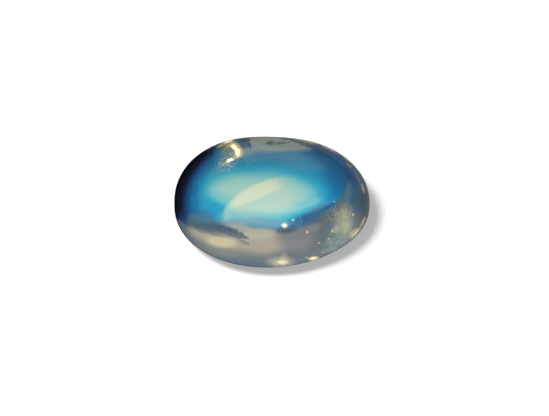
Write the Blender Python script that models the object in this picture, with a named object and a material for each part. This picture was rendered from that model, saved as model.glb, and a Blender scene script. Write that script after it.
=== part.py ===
"""An oval moonstone cabochon: one polished stone with a high dome, a soft girdle and a
shallow bellied back, which ends in the small flat spot that the stone rests on.

The origin is the middle of the flat spot, +Z points up through the dome and +X runs along the
stone's length. Lengths are in metres and angles in radians.
"""

import math

import bmesh
import bpy
from mathutils import Vector

# The girdle is the stone's widest line. The dome rises from it, and the back bellies out below it.
LENGTH = 0.0140
WIDTH = 0.0101
DOME_HEIGHT = 0.0050
BELLY_DEPTH = 0.0014
FLAT_SPOT_DEPTH = 0.0012

# A true ellipse has a fullness of 2. This stone was cut by hand, and its left end is blunter.
LEFT_END_FULLNESS = 2.22
RIGHT_END_FULLNESS = 2.10
END_BLEND = 2.5

# The wheel left the outline slightly three-sided: a share of the radius, and its direction.
WHEEL_SWELL = 0.022
WHEEL_SWELL_DIRECTION = math.radians(21)

# The surface starts as a ball of six patches, and each has this many facets a side. An even
# number lays a row of edges along the girdle.
FACETS_PER_PATCH = 20

BODY_COLOUR = (0.36, 0.55, 0.66, 1.0)
POLISH_ROUGHNESS = 0.05
FELDSPAR_IOR = 1.52


def clear_scene():
    for obj in list(bpy.data.objects):
        bpy.data.objects.remove(obj)


def new_collection(name):
    collection = bpy.data.collections.new(name)
    bpy.context.scene.collection.children.link(collection)
    return collection


def polished_feldspar():
    """The milky blue feldspar, with the gloss of its polish."""
    material = bpy.data.materials.new("polished_feldspar")
    material.use_nodes = True
    shader = material.node_tree.nodes["Principled BSDF"]
    shader.inputs["Base Color"].default_value = BODY_COLOUR
    shader.inputs["Roughness"].default_value = POLISH_ROUGHNESS
    shader.inputs["Metallic"].default_value = 0.0
    shader.inputs["IOR"].default_value = FELDSPAR_IOR
    return material


def girdle_radius(direction):
    """How far the girdle lies from the stone's middle, in a direction seen from above."""
    along, across = math.cos(direction), math.sin(direction)
    leftness = 0.5 - 0.5 * math.tanh(END_BLEND * along)
    fullness = RIGHT_END_FULLNESS + leftness * (LEFT_END_FULLNESS - RIGHT_END_FULLNESS)
    oval = abs(2 * along / LENGTH) ** fullness + abs(2 * across / WIDTH) ** fullness
    swell = 1 + WHEEL_SWELL * math.cos(3 * (direction - WHEEL_SWELL_DIRECTION))
    return swell * oval ** (-1 / fullness)


def even_ball():
    """A unit ball of nearly equal facets: a cube's faces, divided evenly and swelled out."""
    ball = bmesh.new()
    bmesh.ops.create_cube(ball, size=2.0)
    bmesh.ops.subdivide_edges(
        ball, edges=ball.edges, cuts=FACETS_PER_PATCH - 1, use_grid_fill=True
    )
    for vertex in ball.verts:
        even_steps = [math.tan(value * math.pi / 4) for value in vertex.co]
        vertex.co = Vector(even_steps).normalized()
    return ball


def on_the_stone(ball_point):
    """Moves a point of the unit ball to the stone's surface, with the girdle at height 0."""
    from_axis = math.hypot(ball_point.x, ball_point.y)
    direction = math.atan2(ball_point.y, ball_point.x)
    reach = from_axis * girdle_radius(direction)
    rise = DOME_HEIGHT if ball_point.z > 0 else BELLY_DEPTH
    return Vector((reach * math.cos(direction), reach * math.sin(direction), rise * ball_point.z))


def cut_flat_spot(stone):
    """Slices off the tip of the belly and closes the cut with one flat face."""
    cut = bmesh.ops.bisect_plane(
        stone,
        geom=stone.verts[:] + stone.edges[:] + stone.faces[:],
        plane_co=(0, 0, -FLAT_SPOT_DEPTH),
        plane_no=(0, 0, -1),
        clear_outer=True,
    )
    rim = [item for item in cut["geom_cut"] if isinstance(item, bmesh.types.BMEdge)]
    bmesh.ops.edgeloop_fill(stone, edges=rim)


def centre_on_flat_spot(stone):
    """Puts the middle of the stone's length and width over the origin, and its flat spot on it."""
    across = [[vertex.co[axis] for vertex in stone.verts] for axis in (0, 1)]
    middle = [(min(values) + max(values)) / 2 for values in across]
    shift = Vector((-middle[0], -middle[1], FLAT_SPOT_DEPTH))
    bmesh.ops.translate(stone, verts=stone.verts, vec=shift)


def build_moonstone(collection):
    stone = even_ball()
    for vertex in stone.verts:
        vertex.co = on_the_stone(vertex.co)
    cut_flat_spot(stone)
    centre_on_flat_spot(stone)
    bmesh.ops.recalc_face_normals(stone, faces=stone.faces)
    mesh = bpy.data.meshes.new("moonstone")
    stone.to_mesh(mesh)
    stone.free()
    mesh.shade_smooth()
    mesh.set_sharp_from_angle(angle=math.radians(30))
    mesh.materials.append(polished_feldspar())
    obj = bpy.data.objects.new("moonstone", mesh)
    collection.objects.link(obj)
    return obj


clear_scene()
build_moonstone(new_collection("moonstone_cabochon"))
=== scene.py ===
"""The looks of an oval moonstone cabochon: one polished stone with a blue sheen under its dome.

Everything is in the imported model's frame: metres, +Z up, the origin in the middle of the small flat
spot that the stone rests on, and +X along the stone's length.
"""
import math

import bmesh
import bpy
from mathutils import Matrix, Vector


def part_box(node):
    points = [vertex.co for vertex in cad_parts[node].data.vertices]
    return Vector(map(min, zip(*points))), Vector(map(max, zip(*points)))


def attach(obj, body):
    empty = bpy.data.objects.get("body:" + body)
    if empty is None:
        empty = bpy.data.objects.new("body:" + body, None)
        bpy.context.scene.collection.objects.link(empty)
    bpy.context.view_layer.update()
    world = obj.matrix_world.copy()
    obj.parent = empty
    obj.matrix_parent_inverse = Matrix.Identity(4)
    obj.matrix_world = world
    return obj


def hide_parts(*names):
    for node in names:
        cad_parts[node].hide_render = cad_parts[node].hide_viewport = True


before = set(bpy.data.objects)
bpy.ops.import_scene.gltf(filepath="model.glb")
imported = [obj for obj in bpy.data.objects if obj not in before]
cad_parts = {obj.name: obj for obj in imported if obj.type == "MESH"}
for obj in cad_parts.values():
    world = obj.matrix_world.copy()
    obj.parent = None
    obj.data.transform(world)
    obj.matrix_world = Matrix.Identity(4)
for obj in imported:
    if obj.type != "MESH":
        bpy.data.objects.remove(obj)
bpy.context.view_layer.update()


# The stone's form. A single piece of orthoclase feldspar, ground by hand on a wheel to a high dome
# over a shallow belly, with no edge at the girdle. The belly ends in the flat spot it rests on.
MM = 0.001
LENGTH = 14.0 * MM
WIDTH = 10.1 * MM
DOME_HEIGHT = 5.0 * MM
BELLY_DEPTH = 1.4 * MM
GIRDLE_HEIGHT = 1.2 * MM

# A true ellipse has a fullness of 2. This stone was cut by hand, and its left end is blunter.
LEFT_END_FULLNESS = 2.22
RIGHT_END_FULLNESS = 2.10
END_BLEND = 2.5

# The wheel left the outline slightly three-sided: a share of the radius, and its direction.
WHEEL_SWELL = 0.022
WHEEL_SWELL_DIRECTION = math.radians(21)

FACETS_PER_PATCH = 96
SHARP_EDGE = math.radians(30)


def girdle_radius(bearing):
    """How far the girdle lies from the stone's middle, at a bearing seen from above."""
    along, across = math.cos(bearing), math.sin(bearing)
    leftness = 0.5 - 0.5 * math.tanh(END_BLEND * along)
    fullness = RIGHT_END_FULLNESS + leftness * (LEFT_END_FULLNESS - RIGHT_END_FULLNESS)
    oval = abs(2 * along / LENGTH) ** fullness + abs(2 * across / WIDTH) ** fullness
    swell = 1 + WHEEL_SWELL * math.cos(3 * (bearing - WHEEL_SWELL_DIRECTION))
    return swell * oval ** (-1 / fullness)


# The surface starts as a ball of nearly equal facets: a cube's faces, divided and swelled out.
stone = bmesh.new()
bmesh.ops.create_cube(stone, size=2.0)
bmesh.ops.subdivide_edges(stone, edges=stone.edges, cuts=FACETS_PER_PATCH - 1, use_grid_fill=True)
for vertex in stone.verts:
    ball = Vector([math.tan(value * math.pi / 4) for value in vertex.co]).normalized()
    bearing = math.atan2(ball.y, ball.x)
    reach = math.hypot(ball.x, ball.y) * girdle_radius(bearing)
    rise = DOME_HEIGHT if ball.z > 0 else BELLY_DEPTH
    vertex.co = (reach * math.cos(bearing), reach * math.sin(bearing), rise * ball.z)
cut = bmesh.ops.bisect_plane(
    stone,
    geom=stone.verts[:] + stone.edges[:] + stone.faces[:],
    plane_co=(0, 0, -GIRDLE_HEIGHT),
    plane_no=(0, 0, -1),
    clear_outer=True,
)
rim = [item for item in cut["geom_cut"] if isinstance(item, bmesh.types.BMEdge)]
bmesh.ops.edgeloop_fill(stone, edges=rim)

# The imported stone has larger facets, so this one is fitted to its length and width.
low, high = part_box("moonstone")
for axis in (0, 1):
    values = [vertex.co[axis] for vertex in stone.verts]
    shift, fit = Vector((0, 0, 0)), Vector((1, 1, 1))
    fit[axis] = (high[axis] - low[axis]) / (max(values) - min(values))
    shift[axis] = (low[axis] + high[axis] - fit[axis] * (min(values) + max(values))) / 2
    bmesh.ops.scale(stone, verts=stone.verts, vec=fit)
    bmesh.ops.translate(stone, verts=stone.verts, vec=shift)
bmesh.ops.translate(stone, verts=stone.verts, vec=(0, 0, GIRDLE_HEIGHT))
bmesh.ops.recalc_face_normals(stone, faces=stone.faces)
mesh = bpy.data.meshes.new("polished_moonstone")
stone.to_mesh(mesh)
stone.free()
mesh.shade_smooth()
mesh.set_sharp_from_angle(angle=SHARP_EDGE)
moonstone = bpy.data.objects.new("polished_moonstone", mesh)
bpy.context.scene.collection.objects.link(moonstone)
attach(moonstone, "root")
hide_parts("moonstone")


# Polished orthoclase moonstone. The feldspar itself is clear and faintly blue-grey. Thin layers of
# albite inside it scatter the light, which gives the eye a blue sheen, milky and cream in its middle.
# Towards the edge the layers don't catch the light, and grey, slate and honey tones show there.
FELDSPAR_IOR = 1.52
ABSORPTION_COLOUR = "#dde7ec"
ABSORPTION_DENSITY = 60.0

material = bpy.data.materials.new("polished_orthoclase_moonstone")
material.use_nodes = True
tree = material.node_tree
shader = tree.nodes["Principled BSDF"]
shader.inputs["IOR"].default_value = FELDSPAR_IOR
mesh.materials.append(material)


def linear(hex_colour):
    """An sRGB hex colour, such as "#d2e3c9", as the linear colour that shaders use."""
    values = [int(hex_colour[start:start + 2], 16) / 255 for start in (1, 3, 5)]
    return (*[v / 12.92 if v <= 0.04045 else ((v + 0.055) / 1.055) ** 2.4 for v in values], 1.0)


def add(kind, sockets, **settings):
    """Adds a node to the tree in hand, and returns its factor or else its first output.

    A socket is given by its name, or by its order where several have the same name.
    """
    node = tree.nodes.new("ShaderNode" + kind)
    for setting, value in settings.items():
        setattr(node, setting, value)
    open_sockets = [socket for socket in node.inputs if socket.enabled]
    by_name = {socket.name: socket for socket in open_sockets}
    for place, value in sockets.items():
        socket = by_name[place] if isinstance(place, str) else open_sockets[place]
        if isinstance(value, bpy.types.NodeSocket):
            tree.links.new(value, socket)
        else:
            socket.default_value = value
    outputs = [socket for socket in node.outputs if socket.enabled]
    return next((socket for socket in outputs if socket.name == "Fac"), outputs[0])


absorbed = add(
    "VolumeAbsorption", {"Color": linear(ABSORPTION_COLOUR), "Density": ABSORPTION_DENSITY}
)
tree.links.new(absorbed, tree.nodes["Material Output"].inputs["Volume"])


# The layers lie tilted under the dome. The pattern is drawn square to them, in millimetres: along
# the stone, up across the layers, and out of them. Cracks and clouds are ragged, so they are drawn
# on a copy of that space which noise has pushed about.
LAYER_TILT = math.radians(35)
NO_LIMIT = 1000.0
NOISE_MIDDLE = (0.5, 0.5, 0.5)

surface = tree.nodes.new("ShaderNodeTexCoord").outputs
in_millimetres = (1 / MM,) * 3
whole = add("Mapping", {"Vector": surface["Object"], "Scale": in_millimetres})
layers = add(
    "Mapping",
    {"Vector": surface["Object"], "Rotation": (-LAYER_TILT, 0, 0), "Scale": in_millimetres},
)


def pushed_about(reach, size, space=layers):
    """A space with each place pushed by noise, up to a reach, in lumps of one size."""
    noise = add("TexNoise", {"Vector": space, "Scale": 1 / size, "Detail": 3.0, "Roughness": 0.6})
    push = noise.node.outputs["Color"]
    centred = add("VectorMath", {0: push, 1: NOISE_MIDDLE}, operation="SUBTRACT")
    return add("VectorMath", {0: centred, 1: (2 * reach,) * 3, 2: space}, operation="MULTIPLY_ADD")


ragged = pushed_about(reach=0.16, size=0.24)
cloudy = pushed_about(reach=0.30, size=0.80)


def patch(middle, reach, turn=0, core=0.4, strength=1.0, on=layers):
    """The share, up to a strength, of a soft oval patch, whose core is the part that doesn't fade.

    Its middle and its reach each way are in millimetres, and its turn is in degrees.
    """
    middle = (*middle, 0)[:3]
    reach = (*reach, NO_LIMIT)[:3]
    oval = add(
        "Mapping",
        {"Vector": on, "Location": middle, "Rotation": (0, 0, math.radians(turn)), "Scale": reach},
        vector_type="TEXTURE",
    )
    fade = add("TexGradient", {"Vector": oval}, gradient_type="SPHERICAL")
    return add(
        "MapRange",
        {"Value": fade, "From Max": 1 - core, "To Max": strength},
        interpolation_type="SMOOTHSTEP",
    )


def beyond(point, direction, blur, on=layers):
    """The share of what lies past a flat boundary through a point, in a direction. It fades."""
    direction = Vector(direction).normalized()
    start = Vector((*point, 0)[:3]) - blur * direction
    turn = direction.to_track_quat("X", "Z").to_euler()
    ahead = add(
        "Mapping",
        {"Vector": on, "Location": start, "Rotation": turn, "Scale": (2 * blur, 1, 1)},
        vector_type="TEXTURE",
    )
    return add("TexGradient", {"Vector": ahead}, gradient_type="EASING")


def above(point, turn, blur):
    """The share of what lies above a straight edge through a point, at a turn from level."""
    turn = math.radians(turn)
    return beyond(point, (-math.sin(turn), math.cos(turn), 0), blur)


def below(point, turn, blur):
    """The share of what lies below a straight edge through a point, at a turn from level."""
    turn = math.radians(turn)
    return beyond(point, (math.sin(turn), -math.cos(turn), 0), blur)


def flecks(size, least, most, turn=0, stretch=1.0):
    """The share of flecks of a size, which rise from the noise's least value to its most."""
    grain = add(
        "Mapping",
        {
            "Vector": layers,
            "Rotation": (0, 0, math.radians(turn)),
            "Scale": (size * stretch, size, size),
        },
        vector_type="TEXTURE",
    )
    noise = add("TexNoise", {"Vector": grain, "Scale": 1.0, "Detail": 2.0, "Roughness": 0.55})
    return add(
        "MapRange",
        {"Value": noise, "From Min": least, "From Max": most},
        interpolation_type="SMOOTHSTEP",
    )


def product(*shares):
    """Several shares multiplied together."""
    result = shares[0]
    for share in shares[1:]:
        result = add("Math", {0: result, 1: share}, operation="MULTIPLY")
    return result


def lay(under, *covers):
    """Lays colours, or levels, over what is there, each by its share."""
    for cover, share in covers:
        is_level = isinstance(cover, float) or getattr(cover, "type", "") == "VALUE"
        kind = "FLOAT" if is_level else "RGBA"
        under = add("Mix", {"Factor": share, "A": under, "B": cover}, data_type=kind)
    return under


# The clear body under and around the sheen. It is nearly colourless: its warm grey, honey and slate
# tones are painted, and stand for the pale table and the room seen through it.
SLATE_GREY = linear("#616b72")
COOL_GREY = linear("#858880")
WARM_GREY = linear("#aaa393")
PEARL_GREY = linear("#bbb6a3")
MAUVE_GREY = linear("#838286")
CREAM = linear("#cfc4a2")
HONEY = linear("#d2bf86")
SLATE = linear("#50687a")
DEEP_SLATE = linear("#37505f")
STEEL = linear("#3a5f7c")
NAVY = linear("#2a4a6e")
MARINE = linear("#1c4f84")
SAGE = linear("#84928a")
PALE_SAGE = linear("#b5b592")
PINE = linear("#60757a")
BLUE_SLATE = linear("#5b8499")

body = lay(
    SLATE_GREY,
    # Greys over the front, with mauve to the right of the middle.
    (COOL_GREY, patch((-2.4, -2.0), (3.8, 1.3), -8, 0.4, 0.9)),
    (WARM_GREY, patch((-1.5, -1.7), (3.6, 0.95), -3, 0.35, 0.95)),
    (WARM_GREY, patch((-0.3, -1.8), (1.8, 1.2), 0, 0.1, 0.7)),
    (PEARL_GREY, patch((-0.9, -1.1), (2.0, 0.7), 0, 0.3, 0.85)),
    (MAUVE_GREY, patch((1.7, -1.5), (1.9, 1.4), -10, 0.25, 0.85)),
    (MAUVE_GREY, patch((2.8, -0.75), (0.9, 0.5), 15, 0.2, 0.9)),
    # Warm and cream light at the lower left, with slate along the rim below it.
    (WARM_GREY, patch((-4.9, -1.25), (1.5, 0.65), -22, 0.3, 0.6)),
    (CREAM, patch((-3.45, -1.75), (1.45, 0.5), -5, 0.25)),
    (CREAM, patch((-4.3, -1.45), (0.9, 0.4), -18, 0.1, 0.5)),
    (CREAM, patch((-5.1, -1.12), (0.9, 0.13), -27, 0.2, 0.45)),
    (SLATE, patch((-5.95, -1.9), (1.1, 0.5), -38, 0.3, 0.5)),
    (SLATE, patch((-1.7, -3.15), (2.9, 0.65), -6, 0.2, 0.6)),
    # The right end, from steel blue to navy.
    (STEEL, patch((5.6, 2.6), (1.3, 2.9), 8, 0.5, 0.95)),
    (DEEP_SLATE, patch((6.75, 0.9), (0.9, 1.9), 8, 0.3, 0.9)),
    (DEEP_SLATE, patch((6.3, 3.0), (0.5, 1.3), 28, 0.2, 0.5)),
    (NAVY, patch((4.3, 4.4), (1.9, 0.9), -30, 0.4, 0.95)),
    (MARINE, patch((5.5, 3.1), (0.7, 1.7), 20, 0.3, 0.85)),
    (BLUE_SLATE, patch((5.3, 1.7), (0.5, 1.2), -8, 0.1, 0.7)),
    # The sage column at the lower right, and honey at the rim beside it: painted light that the dome
    # gathers there.
    (SAGE, patch((4.95, -0.55), (1.15, 1.75), -8, 0.3, 0.9)),
    (PINE, patch((4.0, -1.2), (0.6, 1.0), 0, 0.2, 0.8)),
    (HONEY, patch((5.75, -1.1, 2.6), (0.75, 0.3, 1.1), 47, 0.1, 0.6)),
    (PALE_SAGE, patch((5.6, -1.15, 2.6), (0.5, 0.3, 1.6), 50, 0.1, 0.9)),
)


# The sheen, painted as a level from nothing to its brightest. It fades to a black rim at the left,
# where the layers turn the light away, and ends in sharp edges at the right, where the dome bends it.
sheen_level = lay(
    0.0,
    (0.30, patch((0.6, 0.8), (7.75, 5.9), 0, 0.78)),
    (0.49, patch((0.3, 1.2), (6.6, 5.0), 0, 0.72)),
    (0.33, patch((5.6, 3.0), (3.0, 3.4), 14, 0.15)),
    (0.40, patch((-0.3, 5.0), (6.0, 1.7), -3, 0.1, 0.7)),
    (0.25, patch((-5.9, -0.4), (2.0, 1.0), -14, 0.1, 0.9)),
    (0.61, patch((-0.3, 1.7), (5.2, 2.3), 3, 0.35)),
    (0.68, patch((-3.2, 2.6), (2.3, 1.1), 14, 0.1, 0.8)),
    (0.78, patch((-1.1, 2.3), (3.9, 1.35), 4, 0.1)),
    (0.85, patch((-2.6, 1.95), (2.7, 1.1), 8, 0.2)),
    (0.76, patch((-3.3, 1.25), (1.4, 0.6), -30, 0.1, 0.8)),
    (0.78, patch((1.1, 1.5), (3.1, 1.5), 2, 0.2)),
    (0.71, patch((-0.8, 0.05), (3.2, 0.8), 0, 0.3, 0.9)),
)

# In its middle are a pale oval with a crisp left edge, a cream blade that points up to the right,
# and the shade under the oval's right half.
pale_edge = patch((0.58, 0.75), (4.3, 2.14), 15, 0.86)
pale = product(pale_edge, patch((-0.9, 1.0), (4.4, 2.6), 4, 0.3), above((0, 0.26), 0, 0.42))
blade = product(pale_edge, above((-0.6, 1.44), 21, 0.16), patch((-1.2, 1.6), (2.7, 1.2), 22, 0.4))
pale_end = product(pale_edge, patch((-3.3, 0.2), (1.0, 0.9), 0, 0.2))
wedge = product(patch((2.5, 1.0), (1.5, 0.45), 10, 0.1), above((3.3, 0.7), 22, 0.1))
shade = product(patch((3.2, 0.15), (2.2, 0.95), 24, 0.4), below((3.3, 0.7), 22, 0.12))
sheen_level = lay(
    sheen_level,
    (0.90, pale),
    (0.99, blade),
    (0.79, pale_end),
    (0.74, wedge),
    (0.32, shade),
)

# How each level shows, from the black rim to the cream blade.
sheen_colour = add("ValToRGB", {"Fac": sheen_level})
ramp = sheen_colour.node.color_ramp
sheen_stops = (
    (0.0, "#0d101d"),
    (0.12, "#161a2b"),
    (0.20, "#242f52"),
    (0.30, "#184f7d"),
    (0.42, "#16709f"),
    (0.52, "#2193b7"),
    (0.62, "#3da6bb"),
    (0.72, "#6cb8be"),
    (0.82, "#92c5be"),
    (0.90, "#adcabb"),
    (1.0, "#cddabf"),
)
while len(ramp.elements) < len(sheen_stops):
    ramp.elements.new(0.5)
for element, (position, colour) in zip(ramp.elements, sheen_stops):
    element.position = position
    element.color = linear(colour)

# Its outline is three ovals together, cut off below, with the dark rim added at the left.
sheen_share = patch((-3.4, 2.3), (5.1, 3.1), 0, 0.76)
for oval_share in (
    patch((0.3, 2.6), (4.82, 3.69), 0, 0.95),
    patch((3.2, 2.75), (2.10, 2.34), 0, 0.92),
):
    sheen_share = add("Math", {0: sheen_share, 1: oval_share}, operation="MAXIMUM")
sheen_share = product(sheen_share, above((2.9, -0.2), 28, 0.2), above((-1.0, -0.64), -3, 0.26))
sheen_share = lay(
    sheen_share,
    (0.0, patch((-2.6, -1.6), (3.8, 1.45), 0, 0.45)),
    (1.0, patch((-6.62, 0.85), (0.95, 1.25), 30, 0.85)),
    (1.0, patch((-6.25, 0.05), (0.85, 0.36), -52, 0.8)),
    (0.0, patch((0.6, 5.75), (3.2, 1.2), -4, 0.6)),
)
painted = lay(body, (sheen_colour, sheen_share))


# Milky haze over the top of the sheen, clouds of tiny flaws and a crack, which lie inside the
# feldspar, and painted light: the room seen through the top of the dome, and light that the dome
# gathers at the right and around the crescent. All are drawn where they show from above and in front.
HAZE = linear("#91a4a6")
BLUE_HAZE = linear("#6894a7")
TEAL = linear("#417993")
OLIVE = linear("#7d8976")
PALE_TEAL = linear("#9fc0ba")
STREAK_BLUE = linear("#5cb6cb")

# The edges of the layers are too fine to show, so the streaks are drawn wider: a tenth of a
# millimetre.
STREAK_WIDTH = 0.1
left_streaks = flecks(STREAK_WIDTH, 0.4, 0.7, turn=67, stretch=30)
top_streaks = flecks(STREAK_WIDTH, 0.4, 0.7, turn=37, stretch=25)

painted = lay(
    painted,
    # Streaks in the sheen, and haze over its top.
    (STREAK_BLUE, product(patch((-4.2, 1.4), (2.2, 2.4), 0, 0.3, 0.18), left_streaks)),
    (BLUE_HAZE, product(patch((-0.4, 3.8), (3.4, 1.3), 0, 0.4, 0.3), top_streaks)),
    (BLUE_HAZE, patch((-1.4, 4.3), (2.2, 0.8), 0, 0.2, 0.5)),
    (BLUE_HAZE, patch((1.0, 4.4), (2.6, 0.7), -8, 0.2, 0.4)),
    (NAVY, patch((3.3, 4.1), (2.2, 0.8), -25, 0.1, 0.5)),
    (BLUE_HAZE, patch((1.8, 3.8), (2.6, 0.8), -12, 0.4, 0.25)),
    # The pearl-grey band along the top: painted room, seen through the steep top of the dome.
    (HAZE, product(above((0.5, 4.57), 3, 0.22), patch((0.3, 5.2), (3.5, 1.3), -11, 0.5, 0.95))),
    (PEARL_GREY, product(above((0.5, 4.72), 3, 0.2), patch((0.4, 5.2), (3.0, 0.9), -8, 0.5, 0.45))),
    (PEARL_GREY, patch((0.6, 5.45), (2.6, 0.45), -6, 0.4, 0.65)),
    # The sheen's lower edge, with a slate cloud at its left end.
    (BLUE_HAZE, patch((-0.8, -0.42), (3.4, 0.52), -2, 0.4, 0.8)),
    (STEEL, patch((1.5, -0.3), (0.9, 0.42), 18, 0.2, 0.45)),
    (HAZE, patch((-2.5, -0.5), (1.3, 0.4), -8, 0.2, 0.7)),
    (SLATE, patch((-4.75, -0.25), (1.4, 0.55), -8, 0.4, 0.85, on=ragged)),
    (STEEL, patch((-4.7, 0.2), (1.3, 0.5), -10, 0.2, 0.5)),
    (HAZE, patch((-2.0, 0.1), (2.3, 0.65), 0, 0.3, 0.3)),
    (PEARL_GREY, patch((-2.2, -0.68), (1.2, 0.26), -10, 0.3, 0.55)),
    # The blue tongue under the pale oval's right half.
    (STEEL, patch((3.2, 0.1), (1.8, 0.6), 25, 0.3, 0.6)),
    (BLUE_HAZE, patch((3.1, 0.62), (1.7, 0.28), 24, 0.2, 0.4)),
    (SLATE_GREY, patch((3.8, 0.05), (0.9, 0.5), 34, 0.1, 0.8)),
    # Dark lumps and a ringed dot along the top, and the dark band to their right.
    (NAVY, patch((3.6, 4.75), (1.3, 0.8), -25, 0.3, 0.85)),
    (SLATE, patch((-0.1, 5.2), (0.45, 0.24), 0, 0.3, 0.85, on=ragged)),
    (SLATE, patch((0.7, 5.2), (0.65, 0.17), 2, 0.3, 0.8, on=ragged)),
    (SLATE, patch((1.35, 5.44), (1.0, 0.16), -9, 0.5, 0.85, on=ragged)),
    (PEARL_GREY, patch((1.16, 5.3), (0.2, 0.2), 0, 0.4, 0.9)),
    (DEEP_SLATE, patch((1.18, 5.24), (0.12, 0.12), 0, 0.1, 0.9)),
    (DEEP_SLATE, patch((2.6, 5.05), (1.7, 0.26), -17, 0.4, 0.8, on=ragged)),
    (MARINE, patch((4.6, 4.4), (1.0, 0.3), -38, 0.4, 0.85)),
    (NAVY, patch((3.1, 4.85), (0.8, 0.25), -20, 0.3, 0.6, on=ragged)),
    # Flecks in the sage column of painted light.
    (PALE_SAGE, product(patch((5.1, -0.1), (0.7, 1.5), -8, 0, 0.9), flecks(0.16, 0.3, 0.6, 75, 2.2))),
    (PALE_SAGE, patch((5.2, -0.65), (0.5, 0.75), -20, 0.1, 0.75, on=ragged)),
    (PALE_SAGE, patch((5.05, 0.15), (0.25, 0.5), -8, 0.1, 0.6, on=ragged)),
    (PALE_SAGE, patch((4.45, -0.85), (0.4, 0.35), 0, 0.1, 0.7, on=ragged)),
    (PALE_SAGE, product(patch((4.6, -0.2), (1.1, 1.5), -10, 0.3), flecks(0.12, 0.5, 0.72, 60, 2.0))),
    (PINE, product(patch((4.7, -0.5), (1.2, 1.7), -10, 0.3, 0.6), flecks(0.15, 0.5, 0.74, 75, 2.2))),
    (SAGE, product(patch((4.3, -1.9), (1.5, 0.8), 28, 0.2, 0.9), flecks(0.25, 0.35, 0.62, 28, 2.0))),
    # Teal and olive clouds around the crescent, pale teal flecks of its painted light, and slate
    # clouds to its right.
    (TEAL, patch((-3.0, 4.4, 3.6), (1.3, 1.5, 3.4), 20, 0.45, 0.9, on=ragged)),
    (HAZE, patch((-3.15, 4.35), (0.5, 0.5), 30, 0.1, 0.5, on=ragged)),
    (OLIVE, patch((-3.1, 4.8, 3.0), (0.7, 0.7, 2.6), 30, 0.2, 0.9, on=ragged)),
    (BLUE_HAZE, patch((-3.5, 3.35), (1.3, 0.5), 20, 0.2, 0.45)),
    (PALE_TEAL, product(patch((-3.1, 3.75), (1.1, 0.75), 20, 0.2), flecks(0.17, 0.42, 0.66, 60, 1.3))),
    (HAZE, patch((-1.6, 4.66), (1.1, 0.55), 18, 0.2, 0.75)),
    (DEEP_SLATE, patch((-1.95, 5.42, 2.6), (0.7, 0.28, 2.2), 5, 0.3, 0.95, on=ragged)),
    (SLATE, patch((-1.62, 5.1, 3.2), (0.22, 0.5, 2.4), 25, 0.4, 0.9, on=ragged)),
    (SLATE, patch((-2.0, 5.1, 3.2), (0.5, 0.5, 2.4), 0, 0.3, 0.75, on=ragged)),
    # The crack at the lower left, from its wide end to its tip, and the painted cream light along its
    # lower edge.
    (SLATE, patch((-4.9, -0.6), (1.6, 0.44), -14, 0.2, 0.9, on=cloudy)),
    (TEAL, patch((-4.9, -0.1), (1.3, 0.5), -10, 0.2, 0.5)),
    (SLATE, patch((-3.9, -0.68), (0.9, 0.25), -16, 0.3, 0.6, on=ragged)),
    (SLATE, patch((-2.95, -0.98), (1.55, 0.3), -20, 0.75, 0.8, on=ragged)),
    (SLATE, patch((-1.8, -1.35), (0.45, 0.13), -20, 0.3, 0.7, on=ragged)),
    (
        DEEP_SLATE,
        product(patch((-2.95, -0.9), (1.5, 0.25), -20, 0.2, 0.5, on=ragged), flecks(0.3, 0.3, 0.7)),
    ),
    (
        WARM_GREY,
        product(patch((-5.1, -1.2), (1.0, 0.35), -24, 0.4, 0.6), below((-5.3, -0.95), -24, 0.07)),
    ),
    (CREAM, product(patch((-3.5, -1.62), (1.3, 0.45), -5, 0.3, 0.9), below((-3.5, -1.37), -7, 0.07))),
    (SLATE, patch((-1.9, -1.72), (0.7, 0.15), -25, 0.2, 0.5, on=ragged)),
    # Dark clouds under the star, and four fine scratches beside it.
    (DEEP_SLATE, patch((1.0, -0.85), (0.95, 0.34), 6, 0.45, 0.75, on=ragged)),
    (STEEL, patch((1.75, -0.5), (0.8, 0.34), 24, 0.3, 0.7, on=ragged)),
    (BLUE_HAZE, patch((0.28, -0.92), (0.06, 0.4), -8, 0.1, 0.7)),
    (BLUE_HAZE, patch((0.62, -0.98), (0.05, 0.35), 14, 0.1, 0.6)),
    (BLUE_HAZE, patch((1.98, -0.12), (0.05, 0.5), 14, 0.1, 0.6)),
    (BLUE_HAZE, patch((1.5, -1.1), (0.6, 0.03), 6, 0.1, 0.5)),
)


# Glints. The dome gathers the lamp's light into a bright crescent at the upper left, a small star,
# spots along the front and broken gold lines along the right-hand rim.
LAMP_LIGHT = linear("#fff6d0")
GOLD_LIGHT = linear("#e3cf92")
DULL_GOLD = linear("#a8a06f")
GLINT = linear("#f6e7ba")
STAR = (0.87, -0.57)
STAR_RAY_TURNS = (12, 52, 88, 130, 160)

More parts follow.
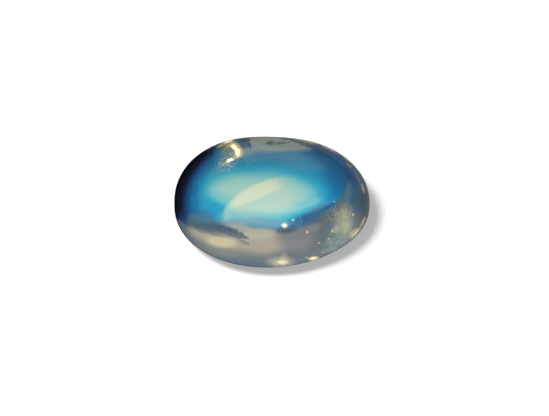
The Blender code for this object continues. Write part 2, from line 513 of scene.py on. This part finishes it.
crescent = lay(
    0.0,
    (1.0, patch((-2.7, 4.6), (0.74, 0.76), 0, 0.6, on=ragged)),
    (0.0, patch((-3.02, 4.44), (0.58, 0.64), 0, 0.5, on=ragged)),
)
painted = lay(
    painted,
    # The crescent and the light around it.
    (DULL_GOLD, patch((-3.1, 5.2, 2.5), (0.8, 0.3, 1.5), 15, 0.2, 0.9, on=ragged)),
    (GOLD_LIGHT, patch((-3.6, 5.1, 2.1), (0.5, 0.16, 1.1), 30, 0.2, 0.8, on=ragged)),
    (LAMP_LIGHT, patch((-3.1, 5.36, 2.0), (0.6, 0.2, 1.1), 17, 0.4, on=ragged)),
    (GOLD_LIGHT, crescent),
    (GOLD_LIGHT, patch((-3.1, 3.85), (0.7, 0.26), 38, 0.1, 0.5, on=ragged)),
    (GOLD_LIGHT, patch((-2.25, 4.45), (0.42, 0.45), 0, 0.2, 0.8, on=ragged)),
    (PALE_TEAL, patch((-2.78, 4.42), (0.3, 0.3), 0, 0.1, 0.7, on=ragged)),
    (LAMP_LIGHT, patch((-2.62, 4.87), (0.5, 0.25), -50, 0.4, on=ragged)),
    (LAMP_LIGHT, patch((-2.36, 4.52), (0.27, 0.42), 0, 0.4, on=ragged)),
    (LAMP_LIGHT, patch((-2.92, 3.94), (0.32, 0.16), 38, 0.2)),
    # Spots along the front rim.
    (PALE_SAGE, patch((0.6, -3.1), (1.3, 0.55), 0, 0.1, 0.8, on=cloudy)),
    (GLINT, patch((0.74, -3.13), (0.55, 0.22), 0, 0.1)),
    (GLINT, patch((2.9, -2.88), (0.5, 0.2), 8, 0.2)),
    (CREAM, patch((0.85, -2.9), (0.45, 0.7), 0, 0.1, 0.4)),
    # Gold lines along the right-hand rim.
    (DULL_GOLD, patch((6.0, 2.9, 2.45), (0.12, 0.9, 0.6), 28, 0.1, 0.35)),
    (GOLD_LIGHT, patch((6.43, 2.0, 2.4), (0.15, 0.52, 0.6), 17, 0, 0.8)),
    (DULL_GOLD, patch((5.45, 3.62, 2.45), (0.45, 0.15, 0.6), -38, 0, 0.8, on=ragged)),
    (GOLD_LIGHT, patch((2.4, 5.4, 2.0), (1.4, 0.16, 1.1), -14, 0.1, 0.9, on=ragged)),
    (GOLD_LIGHT, patch((4.1, 4.86, 1.9), (1.1, 0.16, 1.1), -25, 0.1, 0.9, on=ragged)),
    (DULL_GOLD, patch((5.3, 4.12, 1.9), (0.8, 0.15, 1.0), -42, 0, 0.8, on=ragged)),
    (GOLD_LIGHT, patch((5.95, -1.1, 2.6), (0.85, 0.14, 0.9), 47, 0, on=ragged)),
    (GOLD_LIGHT, patch((6.43, -0.32, 2.4), (0.6, 0.13, 0.8), 62, 0, on=ragged)),
    # The middle of the star.
    (LAMP_LIGHT, patch(STAR, (0.24, 0.2), 0, 0.2)),
)
for turn in STAR_RAY_TURNS:
    painted = lay(painted, (LAMP_LIGHT, patch(STAR, (0.42, 0.035), turn, 0, 0.8)))

# The small glints, with the middle, size and strength of each.
for middle, size, strength in (
    ((1.46, -0.18), 0.11, 0.8),
    ((2.44, -1.02), 0.13, 0.9),
    ((5.67, 0.17), 0.11, 0.9),
    ((4.17, -0.96), 0.11, 0.8),
    ((3.94, -1.49), 0.12, 0.4),
    ((3.27, -1.80), 0.09, 0.7),
    ((2.41, -2.81), 0.10, 0.5),
    ((3.54, -2.46), 0.08, 0.5),
    ((-2.2, -0.93), 0.08, 0.5),
    ((-1.5, -1.42), 0.08, 0.4),
    ((-1.42, -1.95), 0.09, 0.4),
    ((4.33, 1.06), 0.08, 0.4),
):
    painted = lay(painted, (GLINT, patch(middle, (size, size), 0, 0.1, strength)))


# The back and the belly, which no light reaches from the layers. They are calm and clear: slate
# blue, dark at the left end and milky in the middle, with a few soft clouds.
MILKY_BLUE = linear("#b4c4c9")
BACK_SLATE = linear("#7f98a6")
NIGHT = linear("#111627")

# Where each begins, out of the layers and up from the table, and how softly.
BACK_BEGINS, BACK_BLUR = 0.3, 0.65
BELLY_BEGINS, BELLY_BLUR = 0.72, 0.22

back_clouds = pushed_about(reach=0.5, size=1.2, space=whole)
back = lay(
    BACK_SLATE,
    (MILKY_BLUE, patch((0.8, 4.2, 2.6), (5.0, 4.5, 2.8), 0, 0.1, 0.85, on=back_clouds)),
    (BLUE_SLATE, patch((5.4, 2.6, 1.6), (2.6, 3.0, 2.4), 0, 0.2, 0.7, on=back_clouds)),
    (NIGHT, patch((-7.0, 0.8, 1.4), (2.8, 4.2, 4.0), 0, 0.25, 0.95)),
)
behind = beyond((0, 0, BACK_BEGINS), (0, 0, -1), BACK_BLUR)
beneath = beyond((0, 0, BELLY_BEGINS), (0, 0, -1), BELLY_BLUR, on=whole)
hidden = add("Math", {0: behind, 1: beneath}, operation="MAXIMUM")
painted = lay(painted, (back, hidden))
tree.links.new(painted, shader.inputs["Base Color"])


# The lamp's light leaves the stone again at the crescent, the star and the other bright spots. No
# painted surface is as bright as they are, so where the paint is nearly white it also glows.
GLOW_BEGINS, GLOW_IS_FULL = 0.78, 0.95
GLOW_STRENGTH = 0.5

glow = add(
    "MapRange",
    {
        "Value": add("RGBToBW", {"Color": painted}),
        "From Min": GLOW_BEGINS,
        "From Max": GLOW_IS_FULL,
        "To Max": GLOW_STRENGTH,
    },
)
tree.links.new(painted, shader.inputs["Emission Color"])
tree.links.new(glow, shader.inputs["Emission Strength"])


# How clear the stone is. The sheen hides what lies behind it. The body around it lets about a third
# of the light through, and the back and the belly let through about three quarters.
SHEEN_CLEARNESS = 0.0
BODY_CLEARNESS = 0.32
BACK_CLEARNESS = 0.75

clearness = lay(BODY_CLEARNESS, (SHEEN_CLEARNESS, sheen_share), (BACK_CLEARNESS, hidden))
tree.links.new(clearness, shader.inputs["Transmission Weight"])


# The polish. The wheel's finest grit leaves a wet gloss, which is a little duller in some places,
# and a surface that is faintly wavy.
POLISH_ROUGHNESS_LEAST, POLISH_ROUGHNESS_MOST = 0.015, 0.06
WEAR_LEAST, WEAR_MOST = 0.3, 0.7

# The marks are spaced in the pattern's millimetres, and their depth is in metres.
WHEEL_MARK_SPACING = 0.5
WHEEL_MARK_DEPTH = 0.002 * MM

wear = add(
    "TexNoise", {"Vector": whole, "Scale": 1 / WHEEL_MARK_SPACING, "Detail": 2.0, "Roughness": 0.5}
)
roughness = add(
    "MapRange",
    {
        "Value": wear,
        "From Min": WEAR_LEAST,
        "From Max": WEAR_MOST,
        "To Min": POLISH_ROUGHNESS_LEAST,
        "To Max": POLISH_ROUGHNESS_MOST,
    },
)
tree.links.new(roughness, shader.inputs["Roughness"])
waves = add("Bump", {"Strength": 1.0, "Distance": WHEEL_MARK_DEPTH, "Height": wear})
tree.links.new(waves, shader.inputs["Normal"])


# The table, a plain sheet of white acrylic that is lit from below. Its own light is weaker near the
# stone, so that the lamp above it leaves a soft shadow there. It isn't seen in the polish.
TABLE_REACH = 600 * MM
TABLE_GAP = 0.1 * MM
TABLE_COLOUR = linear("#6c6c6c")
TABLE_LIGHT_COLOUR = linear("#ffffff")
TABLE_LIGHT_NEAR, TABLE_LIGHT_FAR = 0.38, 1.0
NEAR_THE_STONE, FAR_FROM_THE_STONE = 9 * MM, 45 * MM

table = bmesh.new()
bmesh.ops.create_grid(table, x_segments=1, y_segments=1, size=TABLE_REACH)
bmesh.ops.translate(table, verts=table.verts, vec=(0, 0, -TABLE_GAP))
table_mesh = bpy.data.meshes.new("floor")
table.to_mesh(table_mesh)
table.free()
floor = bpy.data.objects.new("floor", table_mesh)
bpy.context.scene.collection.objects.link(floor)
floor.visible_glossy = False

acrylic = bpy.data.materials.new("lit_white_acrylic")
acrylic.use_nodes = True
tree = acrylic.node_tree
acrylic_shader = tree.nodes["Principled BSDF"]
acrylic_shader.inputs["Base Color"].default_value = TABLE_COLOUR
acrylic_shader.inputs["Roughness"].default_value = 1.0
acrylic_shader.inputs["Specular IOR Level"].default_value = 0.0
acrylic_shader.inputs["Emission Color"].default_value = TABLE_LIGHT_COLOUR
table_place = tree.nodes.new("ShaderNodeTexCoord").outputs["Object"]
from_stone = add("VectorMath", {"Vector": table_place}, operation="LENGTH")
table_light = add(
    "MapRange",
    {
        "Value": from_stone,
        "From Min": NEAR_THE_STONE,
        "From Max": FAR_FROM_THE_STONE,
        "To Min": TABLE_LIGHT_NEAR,
        "To Max": TABLE_LIGHT_FAR,
    },
)
tree.links.new(table_light, acrylic_shader.inputs["Emission Strength"])
table_mesh.materials.append(acrylic)


# The lights, four soft round ones. Each falls on the stone alone or on the table alone, and none
# shows through the clear stone. Only the warm lamp behind the stone is mirrored in its polish.
LIGHT_DISTANCE = 250 * MM
SOFTBOX_DIRECTION = Vector((-0.60, 0.0, 1.0))
SOFTBOX_SIZE = 90 * MM
SOFTBOX_POWER = 0.07
FILL_DIRECTION = Vector((0.1, -0.9, 0.25))
FILL_SIZE = 150 * MM
FILL_POWER = 0.40
TABLE_LAMP_DIRECTION = Vector((-0.42, -0.06, 0.93))
TABLE_LAMP_SIZE = 90 * MM
TABLE_LAMP_POWER = 3.4
LAMP_DIRECTION = Vector((-0.447, 0.721, 0.529))
LAMP_SIZE = 22 * MM
LAMP_POWER = 0.027
LAMP_COLOUR = linear("#ffe6a8")[:3]
NEUTRAL = linear("#ffffff")[:3]

for title, towards, width, power, colour, is_mirrored, lit in (
    ("softbox", SOFTBOX_DIRECTION, SOFTBOX_SIZE, SOFTBOX_POWER, NEUTRAL, False, moonstone),
    ("fill", FILL_DIRECTION, FILL_SIZE, FILL_POWER, NEUTRAL, False, moonstone),
    ("table_lamp", TABLE_LAMP_DIRECTION, TABLE_LAMP_SIZE, TABLE_LAMP_POWER, NEUTRAL, False, floor),
    ("lamp", LAMP_DIRECTION, LAMP_SIZE, LAMP_POWER, LAMP_COLOUR, True, moonstone),
):
    light = bpy.data.lights.new(title, "AREA")
    light.shape = "DISK"
    light.size = width
    light.energy = power
    light.color = colour
    light_object = bpy.data.objects.new(title, light)
    light_object.location = towards.normalized() * LIGHT_DISTANCE
    light_object.rotation_euler = towards.to_track_quat("Z", "Y").to_euler()
    light_object.visible_glossy = is_mirrored
    light_object.visible_transmission = False
    receivers = bpy.data.collections.new(title + "_falls_on")
    receivers.objects.link(lit)
    light_object.light_linking.receiver_collection = receivers
    bpy.context.scene.collection.objects.link(light_object)


# The room. The camera sees it plain white, and so does the eye through the clear stone. The polish
# mirrors a dimmer room above, the lit table low at the right, and darkness low at the left.
WHITE = linear("#ffffff")
BLACK = linear("#000000")
ROOM_LIGHT = linear("#cbcbcb")
ROOM_MIRRORED = linear("#767676")
TABLE_MIRRORED = linear("#848684")
ROOM_FADE = 0.25
TABLE_SIDE_FADE = 0.2
TABLE_EDGE_FADE = 0.1

room = bpy.data.worlds.new("white_room")
bpy.context.scene.world = room
room.use_nodes = True
tree = room.node_tree
looked_at = tree.nodes.new("ShaderNodeLightPath").outputs
gaze = tree.nodes.new("ShaderNodeTexCoord").outputs["Generated"]
sideways, _, upwards = add("SeparateXYZ", {"Vector": gaze}).node.outputs
on_the_right = add(
    "MapRange", {"Value": sideways, "From Min": -TABLE_SIDE_FADE, "From Max": TABLE_SIDE_FADE}
)
low_down = add(
    "MapRange", {"Value": upwards, "From Min": TABLE_EDGE_FADE, "From Max": -TABLE_EDGE_FADE}
)
overhead = add("MapRange", {"Value": upwards, "From Min": 0.0, "From Max": ROOM_FADE})
mirrored = lay(
    BLACK,
    (ROOM_MIRRORED, overhead),
    (TABLE_MIRRORED, product(on_the_right, low_down)),
)
room_light = lay(
    ROOM_LIGHT,
    (mirrored, looked_at["Is Glossy Ray"]),
    (WHITE, looked_at["Is Transmission Ray"]),
    (WHITE, looked_at["Is Camera Ray"]),
)
tree.links.new(room_light, tree.nodes["Background"].inputs["Color"])


# The camera looks down on the stone's long side, from far enough off for a long lens. The colours
# are shown as they are, with no film look.
CAMERA_ELEVATION = math.radians(55)
CAMERA_DISTANCE = 106.76 * MM
CAMERA_AIM = Vector((0.1845, -1.398, 3.1)) * MM
CAMERA_LENS = 100
CAMERA_NEAREST = 5 * MM

camera_data = bpy.data.cameras.new("camera")
camera_data.lens = CAMERA_LENS
camera_data.clip_start = CAMERA_NEAREST
camera = bpy.data.objects.new("camera", camera_data)
backwards = Vector((0, -math.cos(CAMERA_ELEVATION), math.sin(CAMERA_ELEVATION)))
camera.location = CAMERA_AIM + backwards * CAMERA_DISTANCE
camera.rotation_euler = backwards.to_track_quat("Z", "Y").to_euler()
bpy.context.scene.collection.objects.link(camera)
bpy.context.scene.camera = camera
bpy.context.scene.view_settings.view_transform = "Standard"
